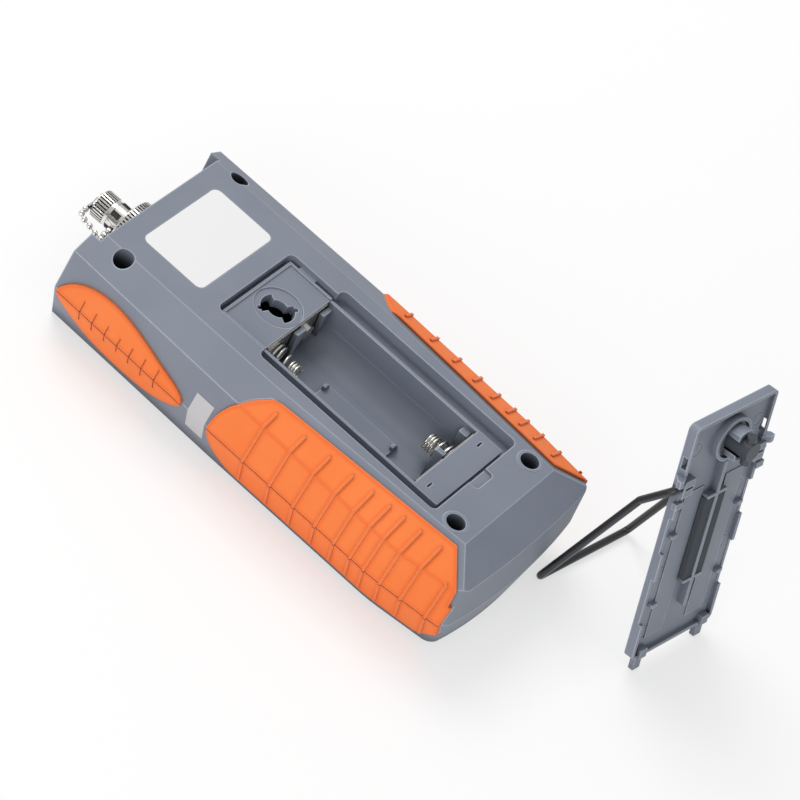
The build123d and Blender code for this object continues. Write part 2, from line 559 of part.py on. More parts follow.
def make_contacts():
    """Contact plates and coil springs at both ends of the battery bay."""
    z0, z1 = CELL_Z - 5.5, RECESS_FLOOR - 0.4
    room = bay_room(-0.12, BAY_BOTTOM_Y, BAY_TOP_Y)
    top = box(-14.6, 14.6, BAY_TOP_Y - 0.4, BAY_TOP_Y, z0, z1) & room
    top += rod_y(CELL_X, CELL_Z, BAY_TOP_Y - 1.5, BAY_TOP_Y - 0.4, 2.6)
    save(top, "bridge_contact")
    for name, x0, x1 in (("minus_contact", 1.2, 14.6), ("plus_contact", -14.6, -1.2)):
        plate = box(x0, x1, BAY_BOTTOM_Y, BAY_BOTTOM_Y + 0.4, z0, z1) & room
        if name == "plus_contact":
            plate += rod_y(-CELL_X, CELL_Z, BAY_BOTTOM_Y + 0.4, BAY_BOTTOM_Y + 1.5, 2.6)
        save(plate, name)
    for name, x, y, way in (("bridge_spring", -CELL_X, BAY_TOP_Y - 0.4, 90),
                            ("minus_spring", CELL_X, BAY_BOTTOM_Y + 0.4, -90)):
        coil = Helix(pitch=1.9, height=8.6, radius=4.2, cone_angle=-9.5)
        start = coil @ 0
        profile = Plane(origin=start, z_dir=coil % 0) * RegularPolygon(0.42, 6)
        spring = sweep(profile, path=coil, is_frenet=True)
        save(Pos(x, y, CELL_Z) * Rot(way, 0, 0) * Pos(0, 0, 0.5) * spring, name)


def cover_to_row(lean):
    """Where the cover's own frame sits once it stands on its hooks and its stand."""
    foot = Rot(0, 0, 180 + COVER_TURN) * Rot(90 + lean, 0, 0)
    drop = HOOK_REACH * math.cos(math.radians(lean)) + HOOK_OUTER_Z * math.sin(math.radians(lean))
    return Pos(COVER_PLACE[0], COVER_PLACE[1], drop) * foot


def stand_points():
    """Folded side view of the stand, as (y, z) from the hinge: hinge, knee and foot."""
    knee = (-STAND_SHORT * math.cos(math.radians(STAND_KNEE)),
            STAND_SHORT * math.sin(math.radians(STAND_KNEE)))
    return knee, (knee[0] - STAND_LEG, knee[1])


def lean_angle():
    """How far the cover leans back when its hooks and the stand's foot touch the floor."""
    turn = math.radians(-STAND_OPEN)
    y, z = stand_points()[1]
    foot_y = HINGE_Y + y * math.cos(turn) - z * math.sin(turn)
    foot_z = HINGE_Z + y * math.sin(turn) + z * math.cos(turn)
    dy, dz = foot_y + HOOK_REACH, foot_z - HOOK_OUTER_Z
    return math.degrees(math.acos(STAND_R / math.hypot(dy, dz)) - math.atan2(dz, dy))


def make_cover():
    """Battery cover with its lips, ribs, hooks, hinge ears, foam and quarter-turn latch."""
    half = RECESS_HALF - COVER_GAP
    length = RECESS_TOP_Y - RECESS_BOTTOM_Y - 2 * COVER_GAP
    latch_y = LATCH_Y - RECESS_BOTTOM_Y - COVER_GAP
    cover = box(-half, half, 0, length, -LIP_DEPTH, 0)
    cover = fillet(cover.edges().filter_by(Axis.Z), 1.8)
    cover -= box(-half + LIP_T, half - LIP_T, LIP_T, length - LIP_T, -LIP_DEPTH - 1, -COVER_T)
    for side in (-1, 1):
        x = side * (half - LIP_T / 2)
        cover -= box(x - 2, x + 2, length - 15, length - 11, -LIP_DEPTH + 0.5, -1.0)
        cover -= box(x - 2, x + 2, length - 46, length - 33, -LIP_DEPTH - 1, -COVER_T - 0.3)
        cover -= box(x - 2, x + 2, length - 73, length - 56, -LIP_DEPTH - 1, -COVER_T - 0.3)
    wing = Polyline((half - 1.3, -0.6), (half + 1.2, -0.9), (half + 2.9, -3.0), (half + 2.9, -4.4),
                    (half + 1.6, -4.6), (half - 1.3, -3.0), close=True)
    cover += both_sides(Pos(0, 69.4, 0) * extrude(Plane.XZ * make_face(wing), amount=2.5))
    cover += both_sides(box(half - 1.3, half + 1.6, 58.2, 60.4, -4.2, -2.6))
    cover += both_sides(box(half - 4.4, half, HINGE_Y - 3.0, HINGE_Y + 3.0, HINGE_Z - 1.7, -COVER_T))
    for x, y in ((13.4, 76.5), (13.4, 52.0), (13.4, 31.0), (13.4, 8.5)):
        mark = rod_z(x, y, -COVER_T - 1, -COVER_T + 0.12, 2.3) - rod_z(x, y, -COVER_T - 1, 0, 2.0)
        cover -= both_sides(mark)
    for side in (-1, 1):
        cover += box(side * 9.0 - 4.0, side * 9.0 + 4.0, 6.0, 60.0, -COVER_T - 0.35, -COVER_T)
        cover -= extrude(Pos(side * 9.0, 33, -1.0) * SlotOverall(53, 6.0, rotation=90), amount=3)
        hook = box(side * HOOK_X - HOOK_W / 2, side * HOOK_X + HOOK_W / 2, -HOOK_REACH, LIP_T,
                   HOOK_OUTER_Z - HOOK_T, HOOK_OUTER_Z)
        hook += box(side * HOOK_X - HOOK_W / 2, side * HOOK_X + HOOK_W / 2, 0, LIP_T + 2.2,
                    -LIP_DEPTH - 0.8, -COVER_T)
        cover += hook
        for y in (46.0, 20.0):
            cover += box(side * 14.6 - 1.2, side * 14.6 + 1.2, y - 0.6, y + 0.6, -COVER_T - 1.7, -COVER_T)
    rib_base = -COVER_T
    cover += box(-0.6, 0.6, 14, latch_y - 8, rib_base - 2.4, rib_base)
    for y in (24.6, 56.4):
        cover += box(-4.2, 4.2, y - 0.5, y + 0.5, rib_base - 2.4, rib_base)
    cover += rod_z(0, latch_y, -COVER_T - 2.6, -COVER_T, LATCH_SEAT_R - 0.3)
    cover -= rod_z(0, latch_y, -COVER_T - 3, -COVER_T - 1.5, LATCH_SEAT_R - 1.4)
    guard = rod_z(0, latch_y, -COVER_T - 6.2, -COVER_T, 5.2) - rod_z(0, latch_y, -20, 0, 3.7)
    guard &= box(-2.8, 2.8, latch_y - 7, latch_y + 7, -20, 0)
    cover += guard
    cover -= rod_z(0, latch_y, -20, 1, 3.1)
    cover -= rod_z(0, latch_y, -1.4, 1, 5.2)
    cover -= both_sides(rod_x(HINGE_Y, HINGE_Z, half - 5, half + 5, STAND_R + HINGE_CLEAR))
    cover -= both_sides(box(half - 3.9, half - 0.6, HINGE_Y - 0.4, HINGE_Y + 0.4, -6, HINGE_Z - 1.0))
    shaft = rod_z(0, latch_y, -11.6, -0.2, 3.04)
    shaft += rod_z(0, latch_y, -1.35, -0.2, 5.0)
    shaft -= box(-4.0, 4.0, latch_y - 0.6, latch_y + 0.6, -1.0, 1)
    shaft += rod_y(0, -9.9, latch_y - 4.9, latch_y + 4.9, 1.5)
    pads = []
    for side in (-1, 1):
        pads.append(box(min(side * 0.8, side * 4.4), max(side * 0.8, side * 4.4), 25.3, 55.7,
                        rib_base - 2.0, rib_base))
    return cover, shaft, pads


def make_stand():
    """Wire stand, folded flat, in the cover's own frame."""
    knee, foot = stand_points()
    x = STAND_HALF
    right = [(RECESS_HALF - COVER_GAP - 3.9, 0, 0), (x, 0, 0), (x, *knee), (x, *foot)]
    left = [(-a, b, c) for a, b, c in reversed(right)]
    path = FilletPolyline(*right, *left, radius=1.95)
    ring = Plane(origin=path @ 0, z_dir=path % 0) * Circle(STAND_R)
    return Pos(0, HINGE_Y, HINGE_Z) * sweep(ring, path=path)


def place_cover():
    """Stand the cover, its latch, its foam pads and its open stand beside the housing."""
    lean = lean_angle()
    place = cover_to_row(lean)
    cover, shaft, pads = make_cover()
    save(place * cover, "battery_cover")
    save(place * shaft, "latch_shaft")
    save(place * pads[0], "foam_pad_left")
    save(place * pads[1], "foam_pad_right")
    hinge = Pos(0, HINGE_Y, HINGE_Z)
    opened = hinge * Rot(-STAND_OPEN, 0, 0) * hinge.inverse()
    save(place * opened * make_stand(), "wire_stand")
    latch_y = LATCH_Y - RECESS_BOTTOM_Y - COVER_GAP
    for what, point in (("stand hinge", (0, HINGE_Y, HINGE_Z)), ("latch", (0, latch_y, 0))):
        spot = (place * Pos(*point)).position
        print(what, [round(v, 3) for v in (spot.X, spot.Y, spot.Z)])
    for what, way in (("cover x", (1, 0, 0)), ("cover z", (0, 0, 1))):
        far = (place * Pos(*way)).position - place.position
        print(what, [round(v, 5) for v in (far.X, far.Y, far.Z)])
    print("lean", round(lean, 3))


save(make_rear_shell(), "rear_shell")
save(make_front_shell(), "front_shell")
make_grips()
make_stickers()
make_screws()
make_electronics()
make_keys()
make_port()
make_chain()
make_contacts()
place_cover()
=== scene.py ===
"""Studio scene of a handheld optical light source seen from behind.

The housing lies on its front face. Its battery cover stands beside it on the wire stand.
Everything is in metres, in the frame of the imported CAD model. Lengths on the object itself
are written in millimetres and multiplied by MM.
"""
import json
import math

import bmesh
import bpy
from mathutils import Matrix, Vector


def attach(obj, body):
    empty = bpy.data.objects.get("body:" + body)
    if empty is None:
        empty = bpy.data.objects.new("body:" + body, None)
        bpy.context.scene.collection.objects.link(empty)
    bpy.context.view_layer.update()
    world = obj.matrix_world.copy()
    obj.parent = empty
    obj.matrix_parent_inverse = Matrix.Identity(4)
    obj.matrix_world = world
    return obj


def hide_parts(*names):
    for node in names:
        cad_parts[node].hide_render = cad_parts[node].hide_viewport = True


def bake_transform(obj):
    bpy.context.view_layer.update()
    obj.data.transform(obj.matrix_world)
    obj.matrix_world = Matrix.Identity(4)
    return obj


MM = 0.001

# Rectangles of the rear face, centred on x = 0: middle y, half width and half length.
RECESS = (-7.2, 21.3, 43.7)
BAY = (-10.9, 16.2, 29.4)

# Cell springs, in the two troughs of the bay.
CELL_X = 7.75            # a trough's axis, left or right of the middle
CELL_Z = 26.0            # height of the cells' axes
TOP_PLATE_Y = 17.8       # contact plate at the port end
BOTTOM_PLATE_Y = -39.7   # contact plate at the other end
SPRING_WIRE = 0.38       # radius

# Fibre port. The y values of its pieces are measured from the end wall behind it.
PORT_Y = 73.3            # the end wall
PORT_Z = 17.0            # height of the port's axis
COLLAR_Y = 9.3           # middle of the adapter's collar
TOOTH_DEPTH = 0.42       # of the knurls
# Outlines of the two turned pieces, as (y, radius, knurled).
RING_NUT = [(0.6, 6.02, False), (0.6, 8.9, False), (1.0, 9.5, True), (5.6, 9.5, True),
            (6.1, 8.9, False), (6.2, 8.6, False), (6.2, 6.02, False), (0.6, 6.02, False)]
DUST_CAP = [(15.9, 1.0, False), (15.9, 4.06, False), (10.95, 4.06, False), (10.95, 4.45, False),
            (11.05, 4.6, False), (12.0, 4.6, False), (12.05, 4.45, False), (12.3, 4.45, False),
            (12.55, 4.75, True), (16.6, 4.75, True), (16.95, 4.4, False), (17.2, 4.1, False),
            (17.2, 0.9, False), (18.2, 0.9, False), (18.3, 0.8, False)]

# Bead chain, from the cap's swivel to the adapter's neck, as (x, y from the end wall, z).
CHAIN = [(-6.3, 17.62, 17.1), (-8.9, 17.0, 17.5), (-10.2, 14.9, 17.6), (-10.4, 12.4, 17.2),
         (-10.4, 9.9, 16.4), (-9.8, 7.7, 15.6), (-7.9, 8.2, 15.8), (-6.0, 8.2, 16.4)]
BEAD_R = 1.05
LINK_R = 0.22
LINK_INSET = 1.4         # a link's length short of its beads' distance, in bead radii
BEAD_TURN = 0.65         # radians about Z, which keeps the facets off the axes

# Painted light and shade go by the openness of a point to its surroundings, one where nothing is near.
OUTER = (0.5, 0.85)      # outer edge from here on, for the painted edge tone, and in full from here
PAINTED_SHADE_OPENNESS = (0.08, 0.75)    # painted shade darkens a hollow in full up to here, and at all up to here

# Light.
AIM = (0, -0.03, 0.02)   # point inside the housing that both soft lights face
FLOOR_LIFT = 0.58        # share of plain white in the floor, where it is looked at
SKY_LEVEL = 0.6          # strength of the surroundings on the object

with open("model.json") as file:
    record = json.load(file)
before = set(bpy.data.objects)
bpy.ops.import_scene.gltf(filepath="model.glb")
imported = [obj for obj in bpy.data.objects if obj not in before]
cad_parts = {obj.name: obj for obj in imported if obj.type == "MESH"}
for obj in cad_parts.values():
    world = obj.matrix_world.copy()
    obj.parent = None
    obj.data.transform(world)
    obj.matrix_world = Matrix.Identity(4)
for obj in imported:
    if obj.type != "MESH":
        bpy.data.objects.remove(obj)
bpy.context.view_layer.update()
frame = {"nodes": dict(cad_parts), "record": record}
nodes = frame["nodes"]


def linear(text):
    """Linear colour of an sRGB hex value."""
    channels = []
    for i in (1, 3, 5):
        v = int(text[i:i + 2], 16) / 255
        channels.append(v / 12.92 if v <= 0.04045 else ((v + 0.055) / 1.055) ** 2.4)
    return (*channels, 1.0)


def add(tree, kind, settings=None, inputs=None):
    """Add one node with its settings, and link or set its inputs."""
    node = tree.nodes.new(kind)
    for key, value in (settings or {}).items():
        setattr(node, key, value)
    for key, value in (inputs or {}).items():
        if isinstance(value, bpy.types.NodeSocket):
            tree.links.new(value, node.inputs[key])
        else:
            node.inputs[key].default_value = value
    return node


def calc(tree, operation, *values, clamp=False):
    """Output of one math node."""
    settings = {"operation": operation, "use_clamp": clamp}
    return add(tree, "ShaderNodeMath", settings, dict(enumerate(values))).outputs[0]


def ranged(tree, value, low, high, to_low=0.0, to_high=1.0):
    """Output that goes from to_low to to_high as the value goes from low to high, clamped."""
    return add(tree, "ShaderNodeMapRange", None,
               {"Value": value, "From Min": low, "From Max": high,
                "To Min": to_low, "To Max": to_high}).outputs[0]


def new_finish(name, colour, roughness, **sockets):
    """Material with one main shader. Returns it with its tree and shader."""
    material = bpy.data.materials.new(name)
    material.use_nodes = True
    tree = material.node_tree
    tree.nodes.clear()
    shader = add(tree, "ShaderNodeBsdfPrincipled", None,
                 {"Base Color": linear(colour), "Roughness": roughness, **sockets})
    out = add(tree, "ShaderNodeOutputMaterial")
    tree.links.new(shader.outputs[0], out.inputs["Surface"])
    return material, tree, shader


def surface_place(tree):
    """Position on the piece, in metres, which moves with the piece."""
    return add(tree, "ShaderNodeTexCoord").outputs["Object"]


def rounded(tree, edge_mm):
    """Normal of the surface with its edges rounded to a radius."""
    return add(tree, "ShaderNodeBevel", {"samples": 6}, {"Radius": edge_mm * MM}).outputs[0]


def relief(tree, shader, height, depth_mm, strength=1.0, edge_mm=0.0):
    """Raise the surface by a height pattern, on edges rounded to edge_mm."""
    bump = add(tree, "ShaderNodeBump", None,
               {"Height": height, "Distance": depth_mm * MM, "Strength": strength})
    if edge_mm:
        tree.links.new(rounded(tree, edge_mm), bump.inputs["Normal"])
    tree.links.new(bump.outputs[0], shader.inputs["Normal"])


def grain(tree, shader, pitch_mm, depth_mm, edge_mm=0.0):
    """Irregular surface grain of a given pitch and depth."""
    noise = add(tree, "ShaderNodeTexNoise", None,
                {"Vector": surface_place(tree), "Scale": 1 / (pitch_mm * MM), "Detail": 3.0,
                 "Roughness": 0.55})
    relief(tree, shader, noise.outputs[0], depth_mm, edge_mm=edge_mm)


def mottled(tree, shader, colour_a, colour_b, pitch_mm):
    """Slow drift between two close tones, as pigment settles in a moulding."""
    noise = add(tree, "ShaderNodeTexNoise", None,
                {"Vector": surface_place(tree), "Scale": 1 / (pitch_mm * MM), "Detail": 4.0})
    ramp = add(tree, "ShaderNodeValToRGB", None, {"Fac": noise.outputs[0]})
    stops = ((0.35, colour_a), (0.65, colour_b))
    for stop, (position, colour) in zip(ramp.color_ramp.elements, stops):
        stop.position = position
        stop.color = linear(colour)
    tree.links.new(ramp.outputs[0], shader.inputs["Base Color"])


def painted_edge_mask(tree, edge_mm, openness, start, full):
    """Mask of the outer edges, where an edge tone is painted in: a painted highlight, and on the
    rubber's wide edges painted shade. It grows from zero to one as the cosine between the face
    and its rounded normal falls from start to full."""
    face = add(tree, "ShaderNodeNewGeometry")
    match = add(tree, "ShaderNodeVectorMath", {"operation": "DOT_PRODUCT"},
                {0: rounded(tree, edge_mm), 1: face.outputs["Normal"]})
    edge = ranged(tree, match.outputs["Value"], start, full)
    return calc(tree, "MULTIPLY", edge, ranged(tree, openness, *OUTER))


def base_colour(tree, shader):
    """What the base colour is now, as an output of a node."""
    base = shader.inputs["Base Color"]
    if base.is_linked:
        return base.links[0].from_socket
    plain = add(tree, "ShaderNodeRGB")
    plain.outputs[0].default_value = base.default_value[:]
    return plain.outputs[0]


def paint_light_and_shade(tree, shader, edge_mm, reach_mm, painted_edge_colour, painted_edge_amount, painted_shade_tone,
           start=0.9975, full=0.96):
    """Paint an edge tone over the outer edges of the base colour, in a given colour and amount, and
    paint shade into its hollows down to a tone that is a number or an output. The edge tone is a
    painted highlight, and on the rubber's wide edges painted shade. A hollow is closed in by
    surfaces within reach_mm."""
    openness = add(tree, "ShaderNodeAmbientOcclusion", {"samples": 8},
                   {"Distance": reach_mm * MM}).outputs["AO"]
    edge = painted_edge_mask(tree, edge_mm, openness, start, full)
    edge_painted = add(tree, "ShaderNodeMixRGB", None,
                 {"Fac": calc(tree, "MULTIPLY", edge, painted_edge_amount),
                  "Color1": base_colour(tree, shader), "Color2": linear(painted_edge_colour)})
    shade_painted = add(tree, "ShaderNodeMixRGB", {"blend_type": "MULTIPLY"},
                 {"Fac": 1.0, "Color1": edge_painted.outputs[0],
                  "Color2": ranged(tree, openness, *PAINTED_SHADE_OPENNESS, painted_shade_tone, 1.0)})
    tree.links.new(shade_painted.outputs[0], shader.inputs["Base Color"])


def within(tree, centre_y, half_x, half_y):
    """One over and under a rectangle of the rear face, in millimetres, and zero elsewhere."""
    place = add(tree, "ShaderNodeSeparateXYZ", None, {0: surface_place(tree)})
    across = calc(tree, "ABSOLUTE", place.outputs["X"])
    along = calc(tree, "ABSOLUTE", calc(tree, "SUBTRACT", place.outputs["Y"], centre_y * MM))
    return calc(tree, "MULTIPLY", calc(tree, "LESS_THAN", across, half_x * MM),
                calc(tree, "LESS_THAN", along, half_y * MM))


def moulded_abs():
    """Blue-grey ABS from a spark-eroded mould: an even satin that softens every highlight.
    The grain is about 0.25 mm and is drawn at 0.4 mm so that it shows. Outer edges get a painted
    highlight and hollows painted shade, but the shallow gutter between the recess and the bay
    is left without painted shade."""
    material, tree, shader = new_finish("blue_grey_moulded_abs", "#787F8C", 0.52, IOR=1.53)
    grain(tree, shader, pitch_mm=0.4, depth_mm=0.012, edge_mm=0.6)
    mottled(tree, shader, "#757C89", "#7B828F", pitch_mm=30)
    # No painted shade in the shallow gutter between the recess and the bay.
    gutter = calc(tree, "SUBTRACT", within(tree, *RECESS), within(tree, *BAY), clamp=True)
    painted_shade_tone = ranged(tree, gutter, 0.0, 1.0, 0.1, 1.0)
    # Painted highlight on the outer edges, painted shade in the hollows.
    paint_light_and_shade(tree, shader, edge_mm=0.6, reach_mm=9.0, painted_edge_colour="#BFC8D4", painted_edge_amount=0.7,
           painted_shade_tone=painted_shade_tone)
    return material


def overmoulded_rubber():
    """Orange thermoplastic elastomer moulded over the shells: dull, with a faint sheen at
    grazing angles and a soft grain. A deeper orange along its edges and ribs and a darker tone in
    its hollows are painted shade, and their sharpest lines get a pale painted highlight."""
    material, tree, shader = new_finish(
        "orange_overmoulded_rubber", "#EF7A38", 0.72, IOR=1.5,
        **{"Specular IOR Level": 0.35, "Sheen Weight": 0.03, "Sheen Roughness": 0.4})
    grain(tree, shader, pitch_mm=0.5, depth_mm=0.012, edge_mm=0.6)
    mottled(tree, shader, "#EE7836", "#F17F3F", pitch_mm=22)
    # Painted shade: a deeper orange on the edges and ribs, and darker hollows.
    paint_light_and_shade(tree, shader, edge_mm=2.2, reach_mm=3.0, painted_edge_colour="#E4560F", painted_edge_amount=0.6,
           painted_shade_tone=0.5)
    # Painted highlight: a pale line on the sharpest edges.
    paint_light_and_shade(tree, shader, edge_mm=0.9, reach_mm=3.0, painted_edge_colour="#FDB07C", painted_edge_amount=0.6,
           painted_shade_tone=1.0, start=0.93, full=0.75)
    return material


def coated_label():
    """White polyester label with a matt laminate: flat and bright."""
    material, tree, shader = new_finish("white_polyester_label", "#E6E6E6", 0.42, IOR=1.5)
    grain(tree, shader, pitch_mm=1.2, depth_mm=0.002)
    return material


def seal_vinyl():
    """Brittle seal vinyl: light grey, slightly shiny, a little uneven where it bends."""
    material, tree, shader = new_finish("light_grey_seal_vinyl", "#BBBBBE", 0.38, IOR=1.5)
    grain(tree, shader, pitch_mm=2.5, depth_mm=0.01)
    return material


def black_coated_steel():
    """Steel wire and screws under a black coat: a tight dark highlight along the wire."""
    material, tree, shader = new_finish("black_coated_steel", "#26282B", 0.34, IOR=1.5)
    grain(tree, shader, pitch_mm=0.5, depth_mm=0.004)
    return material


def tumbled_steel():
    """Plain zinc-plated steel, tumbled: soft grey glints."""
    material, tree, shader = new_finish("tumbled_plated_steel", "#B4B6B8", 0.33, Metallic=1.0)
    grain(tree, shader, pitch_mm=0.3, depth_mm=0.004)
    return material


def acrylic_window():
    """Clear cast acrylic over the display: dark behind, with a sharp reflection."""
    return new_finish("clear_acrylic_window", "#EDF1F2", 0.05, IOR=1.49,
                      **{"Transmission Weight": 1.0})[0]


def display_panel():
    """Unlit reflective display: grey-green, smooth."""
    material, tree, shader = new_finish("unlit_display_panel", "#7E8B76", 0.25, IOR=1.5)
    mottled(tree, shader, "#7A8772", "#82907A", pitch_mm=14)
    return material


def solder_mask():
    """Green solder mask over glass laminate: glossy, slightly uneven."""
    material, tree, shader = new_finish("green_solder_mask", "#1F5B3A", 0.3, IOR=1.55)
    grain(tree, shader, pitch_mm=0.8, depth_mm=0.006)
    return material


def silicone_key():
    """Dark silicone rubber keys: dull black-grey with a soft edge."""
    material, tree, shader = new_finish("dark_silicone_rubber", "#3B3F46", 0.62, IOR=1.41)
    grain(tree, shader, pitch_mm=0.4, depth_mm=0.01, edge_mm=0.4)
    return material


def nickel_on_brass():
    """Turned brass with bright nickel: mirror-like and slightly warm, broken by shallow
    turning waves. Its own lines are about 0.1 mm apart, and the waves are drawn 1.6 mm apart
    so that they show. Its edges get a painted highlight, and painted shade darkens it between
    beads and teeth."""
    material, tree, shader = new_finish("bright_nickel_on_turned_brass", "#E8E6E2", 0.17, Metallic=1.0)
    wave_scale = 200         # bands of 2 pi / 20 / 200 m, which is 1.6 mm
    waves = add(tree, "ShaderNodeTexWave", {"bands_direction": "Y"},
                {"Vector": surface_place(tree), "Scale": wave_scale, "Distortion": 0.6})
    relief(tree, shader, waves.outputs[1], depth_mm=0.002, strength=0.6, edge_mm=0.08)
    # Painted highlight on the edges, painted shade between beads and teeth.
    paint_light_and_shade(tree, shader, edge_mm=0.15, reach_mm=2.4, painted_edge_colour="#F4F3F0", painted_edge_amount=0.6,
           painted_shade_tone=0.1)
    return material


def groove_shade_nickel():
    """Nickel at the bottom of knurls and slots, rougher and darkened as painted shade: it reads
    as a dark line.
    """
    material, tree, shader = new_finish("nickel_painted_dark_in_grooves", "#4E4C49", 0.45, Metallic=1.0)
    grain(tree, shader, pitch_mm=0.3, depth_mm=0.004)
    return material


def contact_steel():
    """Nickel-plated spring steel strip and wire: bright, and a little uneven from drawing."""
    material, tree, shader = new_finish("nickel_plated_spring_steel", "#DEDBD4", 0.24, Metallic=1.0)
    grain(tree, shader, pitch_mm=0.9, depth_mm=0.006)
    return material


def ground_ceramic():
    """Ground zirconia sleeve: white, waxy and smooth."""
    material, tree, shader = new_finish("ground_zirconia", "#EDEBE6", 0.18, IOR=2.1)
    grain(tree, shader, pitch_mm=0.2, depth_mm=0.001)
    return material


def closed_cell_foam():
    """Black closed-cell foam strips: dull grey-black surface with cells of about 0.5 mm."""
    material, tree, shader = new_finish("black_closed_cell_foam", "#44484E", 0.9, IOR=1.4)
    cells = add(tree, "ShaderNodeTexVoronoi", None,
                {"Vector": surface_place(tree), "Scale": 1 / (0.5 * MM)})
    relief(tree, shader, cells.outputs["Distance"], depth_mm=0.08, strength=0.8)
    return material


def dark_nylon():
    """Dark moulded nylon of the latch: satin, nearly black."""
    material, tree, shader = new_finish("dark_moulded_nylon", "#3A3F46", 0.48, IOR=1.53)
    grain(tree, shader, pitch_mm=0.4, depth_mm=0.01, edge_mm=0.3)
    return material


FINISHES = {
    "grey_plastic": moulded_abs(),
    "orange_rubber": overmoulded_rubber(),
    "white_label": coated_label(),
    "grey_sticker": seal_vinyl(),
    "black_steel": black_coated_steel(),
    "plain_steel": tumbled_steel(),
    "clear_window": acrylic_window(),
    "display": display_panel(),
    "green_board": solder_mask(),
    "key_rubber": silicone_key(),
    "nickel_brass": nickel_on_brass(),
    # nickel darkened as painted shade, for the grooves and slots
    "nickel_grooves": groove_shade_nickel(),
    "zirconia": ground_ceramic(),
    "contact_nickel": contact_steel(),
    "black_foam": closed_cell_foam(),
    "dark_plastic": dark_nylon(),
}


def dress_nodes():
    """Give every CAD node the finish of its material slot."""
    slots = {s["node"]: s["material_slot"] for s in frame["record"]["subparts"]}
    for name, obj in nodes.items():
        finish = FINISHES[slots[name]]
        if not obj.material_slots:
            obj.data.materials.append(finish)
        for slot in obj.material_slots:
            slot.material = finish


def placed(name, data):
    """New object of the scene with the given data."""
    obj = bpy.data.objects.new(name, data)
    bpy.context.collection.objects.link(obj)
    return obj


def formed(name, form, *finishes):
    """New piece from a bmesh, with its finishes in order."""
    mesh = bpy.data.meshes.new(name)
    form.to_mesh(mesh)
    form.free()
    for finish in finishes:
        mesh.materials.append(FINISHES[finish])
    return placed(name, mesh)


def smooth_wire(name, points, radius, finish):
    """Round wire along a smooth line through points in millimetres."""
    data = bpy.data.curves.new(name, "CURVE")
    data.dimensions = "3D"
    data.bevel_depth = radius * MM
    data.bevel_resolution = 3
    data.resolution_u = 3
    data.use_fill_caps = True
    line = data.splines.new("NURBS")
    line.points.add(len(points) - 1)
    for point, place in zip(line.points, points):
        point.co = (*(v * MM for v in place), 1.0)
    line.order_u = 4
    line.use_endpoint_u = True
    drawn = bpy.data.objects.new(name + "_line", data)
    mesh = bpy.data.meshes.new_from_object(drawn)
    bpy.data.objects.remove(drawn)
    for face in mesh.polygons:
        face.use_smooth = True
    mesh.materials.clear()
    mesh.materials.append(FINISHES[finish])
    return placed(name, mesh)


def cell_spring(name, node, x, y, way):
    """Conical battery spring from its plate at y, towards +Y or -Y as way says: one closed
    coil on the plate, two open ones, and a dense narrow end that touches the cell."""
    turns, steps = 6, 12
    seat = 0.4                                         # wire's middle above the plate
    closed_rise, open_rise, dense_rise = 0.9, 2.45, 0.95   # in one turn
    wide, taper = 4.15, 0.62                           # radius, and its loss in one turn
    taper_start, taper_turns = 0.8, 2.2
    points = []
    for i in range(turns * steps + 1):
        t = i / steps
        rise = (closed_rise * min(t, 1) + open_rise * min(max(t - 1, 0), 2)
                + dense_rise * max(t - 3, 0))
        r = wide - taper * min(max(t - taper_start, 0), taper_turns)
        a = 2 * math.pi * t
        points.append((x + r * math.cos(a), y + way * (seat + rise), CELL_Z + r * math.sin(a)))
    spring = smooth_wire(name, points, SPRING_WIRE, "contact_nickel")
    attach(spring, "unit")
    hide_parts(node)


def turned(name, node, body, profile, teeth):
    """Turned piece about the port's axis, with teeth on its knurled rings. A tooth's top
    takes 52 percent of the pitch, its flank leads down to 64, and the next one up from 88.
    What lies beside the tops, between two knurled rings, is darkened as painted shade."""
    steps = ((0.0, 0.0), (0.52, 0.0), (0.64, TOOTH_DEPTH), (0.88, TOOTH_DEPTH))
    form = bmesh.new()
    rings = []
    for y, r, knurled in profile:
        ring = []
        for i in range(teeth):
            for part, cut in steps:
                a = 2 * math.pi * (i + part) / teeth
                s = r - (cut if knurled else 0.0)
                ring.append(form.verts.new((s * math.cos(a) * MM, (PORT_Y + y) * MM,
                                            (PORT_Z + s * math.sin(a)) * MM)))
        rings.append(ring)
    for k, (a, b) in enumerate(zip(rings, rings[1:])):
        grooved = profile[k][2] and profile[k + 1][2]
        for i in range(len(a)):
            j = (i + 1) % len(a)
            face = form.faces.new((a[i], b[i], b[j], a[j]))
            # Flanks and groove floors take the second finish, darkened as painted shade.
            face.material_index = 1 if grooved and i % len(steps) else 0
    if profile[0] == profile[-1]:
        bmesh.ops.remove_doubles(form, verts=form.verts, dist=1e-7)
    else:
        form.faces.new(rings[0])
        form.faces.new(rings[-1][::-1])
    bmesh.ops.recalc_face_normals(form, faces=form.faces)
    piece = formed(name, form, "nickel_brass", "nickel_grooves")
    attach(piece, body)
    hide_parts(node)


def shade_collar_slots():
    """Dark blocks down in the six slots of the adapter's collar, as painted shade."""
    slots, first_angle = 6, 18
    middle_r = 4.0
    size = Vector((1.88, 2.96, 0.96)) * MM
    form = bmesh.new()
    for i in range(slots):
        a = math.radians(360 / slots * i + first_angle)
        turn = (Matrix.Translation(Vector((0, PORT_Y + COLLAR_Y, PORT_Z)) * MM)
                @ Matrix.Rotation(a, 4, "Y") @ Matrix.Translation((0, 0, middle_r * MM))
                @ Matrix.Diagonal((*size, 1)))
        bmesh.ops.create_cube(form, size=1, matrix=turn)
    # Blocks in the groove nickel, darkened as painted shade.
    shade_blocks = formed("collar_slot_painted_shade", form, "nickel_grooves")
    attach(shade_blocks, "unit")


